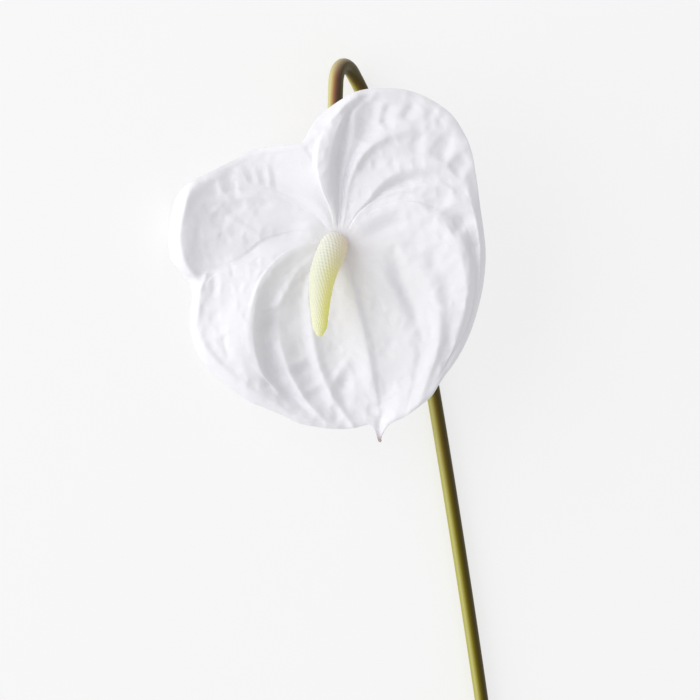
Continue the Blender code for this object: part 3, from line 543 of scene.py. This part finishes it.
def closed_net(rings, marks):
    """A closed net over rings of points, a pole at each end, that carries marks as attributes."""
    count, columns = rings.shape[:2]
    net = bmesh.new()
    # The grid runs from -0.5 to 0.5 both ways, and each of its corners goes to a point of the rings.
    bmesh.ops.create_grid(net, x_segments=columns, y_segments=count - 1, size=0.5)
    layers = {name: net.verts.layers.float.new(name) for name in marks}
    for corner in net.verts:
        column = round((corner.co.x + 0.5) * columns) % columns
        ring = round((corner.co.y + 0.5) * (count - 1))
        corner.co = rings[ring, column]
        for name, values in marks.items():
            corner[layers[name]] = values[ring, column]
    bmesh.ops.remove_doubles(net, verts=net.verts, dist=SAME_PLACE)
    bmesh.ops.recalc_face_normals(net, faces=net.faces)
    return net


def tube_rings(axis, radii, sides):
    """Rings along an axis, without its ends, and their outward directions."""
    axis = [Vector(point) for point in axis]
    side = Vector((1, 0, 0))
    turns = np.linspace(0, math.tau, sides, endpoint=False)
    outward = []
    for number in range(len(axis)):
        before = axis[max(number - 1, 0)]
        after = axis[min(number + 1, len(axis) - 1)]
        facing = (after - before).normalized()
        side = (side - facing * side.dot(facing)).normalized()
        up = facing.cross(side)
        outward.append(np.cos(turns)[:, None] * np.array(side) + np.sin(turns)[:, None] * np.array(up))
    outward = np.array(outward)
    centres = np.array(axis)[:, None, :]
    return centres + outward * np.array(radii)[:, None, None], outward


def painted_light_share(outward):
    """How far a surface faces the window, from 0 to 1: how much painted light, rather than painted shade,
    it gets.
    """
    return np.clip(0.5 + 0.5 * outward @ np.array(PAINTED_LIGHT_SIDE), 0, 1)


def marks_with_ends(rows, before, after, sides):
    """Marks for a tube's rings, from rows of name, value before them, their values and value after."""
    marks = {}
    for name, first, values, last in rows:
        marks[name] = np.concatenate([np.broadcast_to(first, (before, sides)),
                                      np.broadcast_to(values, (len(values), sides)),
                                      np.broadcast_to(last, (after, sides))])
    return marks


def as_it_lies(net, name, finish):
    """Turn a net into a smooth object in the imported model's place, with its finish."""
    mesh = bpy.data.meshes.new(name)
    net.to_mesh(mesh)
    net.free()
    mesh.transform(LIES)
    mesh.shade_smooth()
    mesh.materials.append(finish)
    piece = bpy.data.objects.new(name, mesh)
    bpy.context.scene.collection.objects.link(piece)
    return piece


class Wire:
    """An output of a finish's nodes that can be reckoned with."""

    def __init__(self, finish, socket):
        self.finish = finish
        self.socket = socket

    def reckon(self, operation, *values):
        """One Math node on these values."""
        return self.finish.node("ShaderNodeMath", {"operation": operation}, dict(enumerate(values)))

    def __add__(self, other):
        return self.reckon("ADD", self, other)

    def __mul__(self, other):
        return self.reckon("MULTIPLY", self, other)

    __radd__ = __add__
    __rmul__ = __mul__


class Finish:
    """A material that is put together wire by wire round one Principled shader."""

    def __init__(self, name, **even):
        self.material = bpy.data.materials.new(name)
        self.material.use_nodes = True
        self.tree = self.material.node_tree
        self.shader = self.tree.nodes["Principled BSDF"]
        for socket, value in even.items():
            self.shader.inputs[socket.replace("_", " ")].default_value = value

    def node(self, kind, settings=None, sockets=None, output=0):
        """Add a node, with its settings first, and return one of its outputs."""
        made = self.tree.nodes.new(kind)
        for name, value in (settings or {}).items():
            if name == "stops":
                self.set_stops(made.color_ramp, value)
            else:
                setattr(made, name, value)
        for name, value in (sockets or {}).items():
            self.put(value, made.inputs[name])
        return Wire(self, made.outputs[output])

    def set_stops(self, ramp, stops):
        """Give a ramp its places and their colours."""
        while len(ramp.elements) < len(stops):
            ramp.elements.new(1)
        for element, (place, colour) in zip(ramp.elements, stops):
            element.position = place
            element.color = (*colour, 1)

    def put(self, value, socket):
        """Link a wire to a socket, or set a plain value on it."""
        if isinstance(value, Wire):
            self.tree.links.new(value.socket, socket)
        else:
            socket.default_value = value

    def colour(self, value):
        """A colour as a socket takes it: a wire as it is, or three numbers made opaque."""
        return value if isinstance(value, Wire) else (*value, 1)

    def mark(self, name):
        """A value that the piece's own mesh carries."""
        return self.node("ShaderNodeAttribute", {"attribute_name": name}, output="Fac")

    def place(self, scale):
        """Where a point lies on the piece, in metres times scale."""
        point = self.node("ShaderNodeTexCoord", output="Object")
        return self.node("ShaderNodeMapping", {}, {"Vector": point, "Scale": scale})

    def noise(self, size, detail=2.0, scale=(1, 1, 1)):
        """A cloudy value of about that size in millimetres."""
        sockets = {"Vector": self.place(scale), "Scale": 1 / (size * MM), "Detail": detail}
        return self.node("ShaderNodeTexNoise", {}, sockets, "Fac")

    def ramp(self, value, stops):
        """A colour that follows a value through its stops."""
        return self.node("ShaderNodeValToRGB", {"stops": stops}, {"Fac": value}, "Color")

    def between(self, factor, first, second, blend="MIX"):
        """One colour going over into another."""
        sockets = {0: factor, 6: self.colour(first), 7: self.colour(second)}
        return self.node("ShaderNodeMix", {"data_type": "RGBA", "blend_type": blend}, sockets, 2)

    def smooth_step(self, value, start, end):
        """0 at the start, 1 at the end, and an even curve between."""
        settings = {"interpolation_type": "SMOOTHSTEP"}
        return self.node("ShaderNodeMapRange", settings, {"Value": value, 1: start, 2: end})

    def bump(self, height, depth):
        """Relief from a height between 0 and 1 that stands for depth millimetres."""
        normal = self.node("ShaderNodeBump", {}, {"Height": height, "Distance": depth * MM})
        self.put(normal, self.shader.inputs["Normal"])


def bract_finish():
    """White and softly satin, greyed by painted shade in its hollows, with faint pink flecks and a brown
    tip.
    """
    finish = Finish("white_bract", Specular_IOR_Level=0.35)
    cloud = finish.noise(size=14)
    speck = finish.smooth_step(finish.noise(size=1.6, detail=1.0), start=0.71, end=0.78)
    patch = finish.smooth_step(finish.noise(size=9), start=0.5, end=0.7)
    white = finish.between(cloud, *BRACT_WHITES)
    # Painted shade: the deeper a hollow sinks, the greyer the white
    white = finish.between(finish.mark("hollow") * PAINTED_SHADE_SHARE, white, PAINTED_SHADE_GREY)
    white = finish.between(speck * patch * FLECK_SHARE, white, FLECK_PINK)
    white = finish.between(finish.mark("tip"), white, TIP_BROWN)
    finish.put(white, finish.shader.inputs["Base Color"])
    finish.put(BRACT_ROUGHNESS + cloud * BRACT_CLOUDS, finish.shader.inputs["Roughness"])
    fine_grain = finish.noise(size=0.5, detail=3.0) * 0.4
    finish.bump(fine_grain + finish.noise(size=2.2), depth=0.12)
    return finish.material


def spadix_finish():
    """Cream at the foot, pale yellow-green towards the tip, deeper between the florets, whitened by
    painted light on the window side and deepened by painted shade away from it.
    """
    finish = Finish("floret_cream", Roughness=0.6, Specular_IOR_Level=0.3)
    length = finish.mark("length")
    # Painted light and shade: a lit copy of the florets' colours faces the window, a shaded, deeper copy
    # faces away
    painted_lit_skin = finish.ramp(length, PAINTED_LIT_FLORETS)
    deep = finish.ramp(length, PAINTED_SHADED_FLORETS)
    painted_shade_side = finish.smooth_step(finish.mark("side"), start=0.75, end=0.05)
    skin = finish.between(painted_shade_side, painted_lit_skin, deep)
    gaps = finish.between(1.0, skin, FLORET_GAPS, "MULTIPLY")
    finish.put(finish.between(finish.mark("crown"), gaps, skin), finish.shader.inputs["Base Color"])
    finish.bump(finish.noise(size=0.35), depth=0.04)
    return finish.material


def stalk_finish():
    """Yellow-green along the window side and nearly black along the other, an airbrushed two-tone with
    painted light and shade laid over it, and red-brown from the hook on.
    """
    finish = Finish("olive_stalk", Specular_IOR_Level=0.1)
    # side: how far the stalk faces the window, for its painted light and shade
    side = finish.mark("side")
    height = finish.mark("height")
    cloud = finish.noise(size=30)
    full = finish.smooth_step(height, start=0.85, end=0.885)
    faint = finish.smooth_step(height + cloud * 0.2, start=0.5, end=0.75) * FAINT_RUSSET
    skin = finish.between(full + faint, finish.ramp(side, OLIVE_PAINTED_LIGHT_AND_SHADE), finish.ramp(side, RUSSET_PAINTED_LIGHT_AND_SHADE))
    # Painted light on the hook's upward-facing top
    painted_top_light = finish.smooth_step(finish.mark("top"), start=0.3, end=1.0)
    skin = finish.between(painted_top_light * PAINTED_TOP_LIGHT_SHARE, skin, HOOK_PAINTED_LIGHT)
    end = finish.mark("cut")
    flesh = finish.between(finish.noise(size=0.7, detail=3.0), *CUT_FLESH)
    finish.put(finish.between(end, skin, flesh), finish.shader.inputs["Base Color"])
    roughness = STALK_ROUGHNESS + cloud * STALK_CLOUDS + end * CUT_ROUGHER
    finish.put(roughness, finish.shader.inputs["Roughness"])
    fibres = finish.noise(size=0.5, scale=(1, 0.04, 1))
    finish.bump(fibres, depth=0.04)
    return finish.material


def make_bract():
    """The spathe: one thin blade whose front runs over its rounded edge into its back."""
    places = spathe_columns()
    shares = np.linspace(0, 1, ROWS + 1)
    face = spathe_face(places, shares).transpose(1, 0, 2)
    normals = net_normals(face)
    thick = (BLADE + (RIM - BLADE) * shares ** THIN_POWER)[:, None, None]
    back = face - normals * thick
    middle = (face[-1] + back[-1]) / 2
    outward = unit(face[-1] - face[-2])
    turns = np.pi * np.arange(1, RIM_ROWS + 1) / (RIM_ROWS + 1)
    rim = [middle + RIM / 2 * (np.cos(t) * normals[-1] + np.sin(t) * outward) for t in turns]
    seat = np.array((*SEAT, 0.0))
    front_pole = np.broadcast_to(seat, face[0].shape)
    back_pole = front_pole - (0, 0, BLADE)
    rings = np.concatenate([[front_pole], face, rim, back[::-1], [back_pole]])
    x = face[:, :, 0]
    y = face[:, :, 1]
    # Painted shade: how deep each point sinks, kept as a mark that greys the hollows
    sunk = furrow_depth(places, shares).T + pucker_depth(x, y) - np.minimum(stroke_height(x, y), 0)
    tip = np.exp(-((x - TIP[0]) ** 2 + (y - TIP[1]) ** 2) / TIP_BLUSH ** 2)
    marks = {}
    for name, values in (("hollow", np.clip(sunk / PAINTED_SHADE_DEPTH, 0, 1)), ("tip", tip)):
        edge = np.repeat(values[-1:], RIM_ROWS, axis=0)
        marks[name] = np.concatenate([values[:1], values, edge, values[::-1], values[:1]])
    return as_it_lies(closed_net(rings, marks), "heart_bract", bract_finish())


def make_spadix():
    """The club, its florets as bumps in staggered rows, each with its stigma."""
    stations = np.linspace(0, 1, FLORET_ROWS * CORNERS_A_FLORET + 1)
    read = along(SPADIX_AXIS, stations, axes=3)
    sides = FLORETS_ROUND * CORNERS_A_FLORET
    rings, outward = tube_rings(read[:, :3], read[:, 3], sides)
    row = (stations * FLORET_ROWS)[:, None]
    floret = np.arange(sides)[None, :] / CORNERS_A_FLORET + FLORET_SHIFT * row
    bump = 0.5 + 0.5 * np.cos(np.pi * (floret + row)) * np.cos(np.pi * (floret - row))
    fade = np.clip(np.minimum(row, FLORET_ROWS - row) / FLORET_FADE, 0, 1)
    lift = (FLORET_HEIGHT * bump + STIGMA_HEIGHT * bump ** STIGMA_POWER) * fade
    foot = np.broadcast_to(read[0, :3], (sides, 3))
    onward = unit(read[-1, :3] - read[-2, :3])
    cap = []
    for turn in 0.5 * np.pi * np.arange(1, TIP_RINGS + 1) / TIP_RINGS:
        centre = read[-1, :3] + onward * TIP_CAP * math.sin(turn)
        cap.append(centre + outward[-1] * read[-1, 3] * math.cos(turn))
    rings = np.concatenate([[foot], rings + outward * lift[:, :, None], cap])
    # side: how far each ring faces the window, for the painted light and shade
    side = painted_light_share(outward)
    rows = [("length", 0, stations[:, None], 1), ("crown", 0, bump, TIP_CROWN),
            ("side", side[0], side, side[-1])]
    marks = marks_with_ends(rows, 1, TIP_RINGS, sides)
    return as_it_lies(closed_net(rings, marks), "floret_club", spadix_finish())


def off_table(x, height):
    """The depth z, in the flower's frame, of a point that stands so high over the table."""
    return (TABLE + height - x * math.sin(LEAN)) / math.cos(LEAN)


def stalk_path():
    """The stalk's axis and radii from its cut end, over the hook, to the back of the spathe."""
    points = [(x, y, off_table(x, lift + radius), radius) for x, y, lift, radius in LOW_RUN]
    front = FRONT_LEG[0][2]
    for x, y, share, radius in HOOK:
        low = off_table(x, radius)
        points.append((x, y, low + (front - low) * share, radius))
    return points + FRONT_LEG


def make_stalk():
    """The stalk: one slim round stem with shallow grooves, cut plainly across at its foot."""
    points = stalk_path()
    length = sum(math.dist(a[:3], b[:3]) for a, b in zip(points, points[1:]))
    stations = np.linspace(0, 1, round(length / STALK_STEP) + 1)
    read = along(points, stations, axes=3)
    rings, outward = tube_rings(read[:, :3], read[:, 3], STALK_SIDES)
    turns = np.linspace(0, math.tau, STALK_SIDES, endpoint=False)
    grooves = 0.5 - 0.5 * np.cos(STALK_GROOVES * turns)
    rings = rings - outward * (GROOVE_DEPTH * grooves)[None, :, None]
    run_in = unit(read[1, :3] - read[0, :3])
    across = np.linspace(0, 1, CUT_RINGS, endpoint=False)
    foot = read[0, :3]
    cut = [foot + (rings[0] - foot) * share + run_in * CUT_HOLLOW * (1 - share ** 2) for share in across]
    end = np.broadcast_to(read[-1, :3], (STALK_SIDES, 3))
    rings = np.concatenate([cut, rings, [end]])
    # The cut end and the end behind the spathe face neither side, so they are half way: 0.5.
    # side and top carry painted light: how far the stalk faces the window, and how far it faces up at the
    # hook
    rows = [("side", 0.5, painted_light_share(outward), 0.5), ("top", 0, np.clip(outward[:, :, 1], 0, 1), 0),
            ("height", 0, stations[:, None], 1), ("cut", 1, np.zeros((len(stations), 1)), 0)]
    marks = marks_with_ends(rows, CUT_RINGS, 1, STALK_SIDES)
    return as_it_lies(closed_net(rings, marks), "long_stalk", stalk_finish())


def in_place(x, y, z):
    """A point of the flower's own frame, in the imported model's frame."""
    return LIES @ Vector((x, y, z))


def make_camera():
    """A camera square to the spathe, as far off as the photograph's was taken to be."""
    data = bpy.data.cameras.new("camera")
    data.sensor_width = FILM_WIDTH
    data.lens = FILM_WIDTH * VIEW_DISTANCE / VIEW_WIDTH
    camera = bpy.data.objects.new("camera", data)
    camera.location = in_place(*VIEW_CENTRE, VIEW_DISTANCE)
    camera.rotation_euler = (0, -LEAN, 0)
    bpy.context.scene.collection.objects.link(camera)
    bpy.context.scene.camera = camera


def make_window():
    """One large soft light on the flower's left."""
    data = bpy.data.lights.new("key_window", "AREA")
    data.shape = "SQUARE"
    data.size = KEY_SIZE
    data.energy = KEY_WATTS
    light = bpy.data.objects.new("key_window", data)
    direction = (LIES.to_3x3() @ Vector(KEY_FROM)).normalized()
    light.location = in_place(*VIEW_CENTRE, 0) + direction * KEY_DISTANCE
    light.rotation_euler = direction.to_track_quat("Z", "Y").to_euler()
    bpy.context.scene.collection.objects.link(light)


def make_room():
    """A pale table, lit from within so that shadows on it stay faint, and an even white room."""
    world = bpy.data.worlds.new("white_room")
    world.use_nodes = True
    sky = world.node_tree.nodes["Background"]
    sky.inputs["Color"].default_value = (1, 1, 1, 1)
    sky.inputs["Strength"].default_value = ROOM_LIGHT
    bpy.context.scene.world = world
    net = bmesh.new()
    bmesh.ops.create_grid(net, x_segments=1, y_segments=1, size=TABLE_HALF)
    mesh = bpy.data.meshes.new("pale_table")
    net.to_mesh(mesh)
    net.free()
    finish = Finish("pale_table", Roughness=0.7, Specular_IOR_Level=0.2)
    finish.shader.inputs["Base Color"].default_value = (*TABLE_TONE, 1)
    finish.shader.inputs["Emission Color"].default_value = (1, 1, 1, 1)
    finish.shader.inputs["Emission Strength"].default_value = TABLE_GLOW
    mesh.materials.append(finish.material)
    table = bpy.data.objects.new("pale_table", mesh)
    bpy.context.scene.collection.objects.link(table)


bract = make_bract()
spadix = make_spadix()
stalk = make_stalk()
for piece, node in ((bract, "spathe"), (spadix, "spadix"), (stalk, "stem")):
    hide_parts(node)
    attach(piece, "root")
make_room()
make_window()
make_camera()
bpy.context.scene.view_settings.view_transform = "Standard"
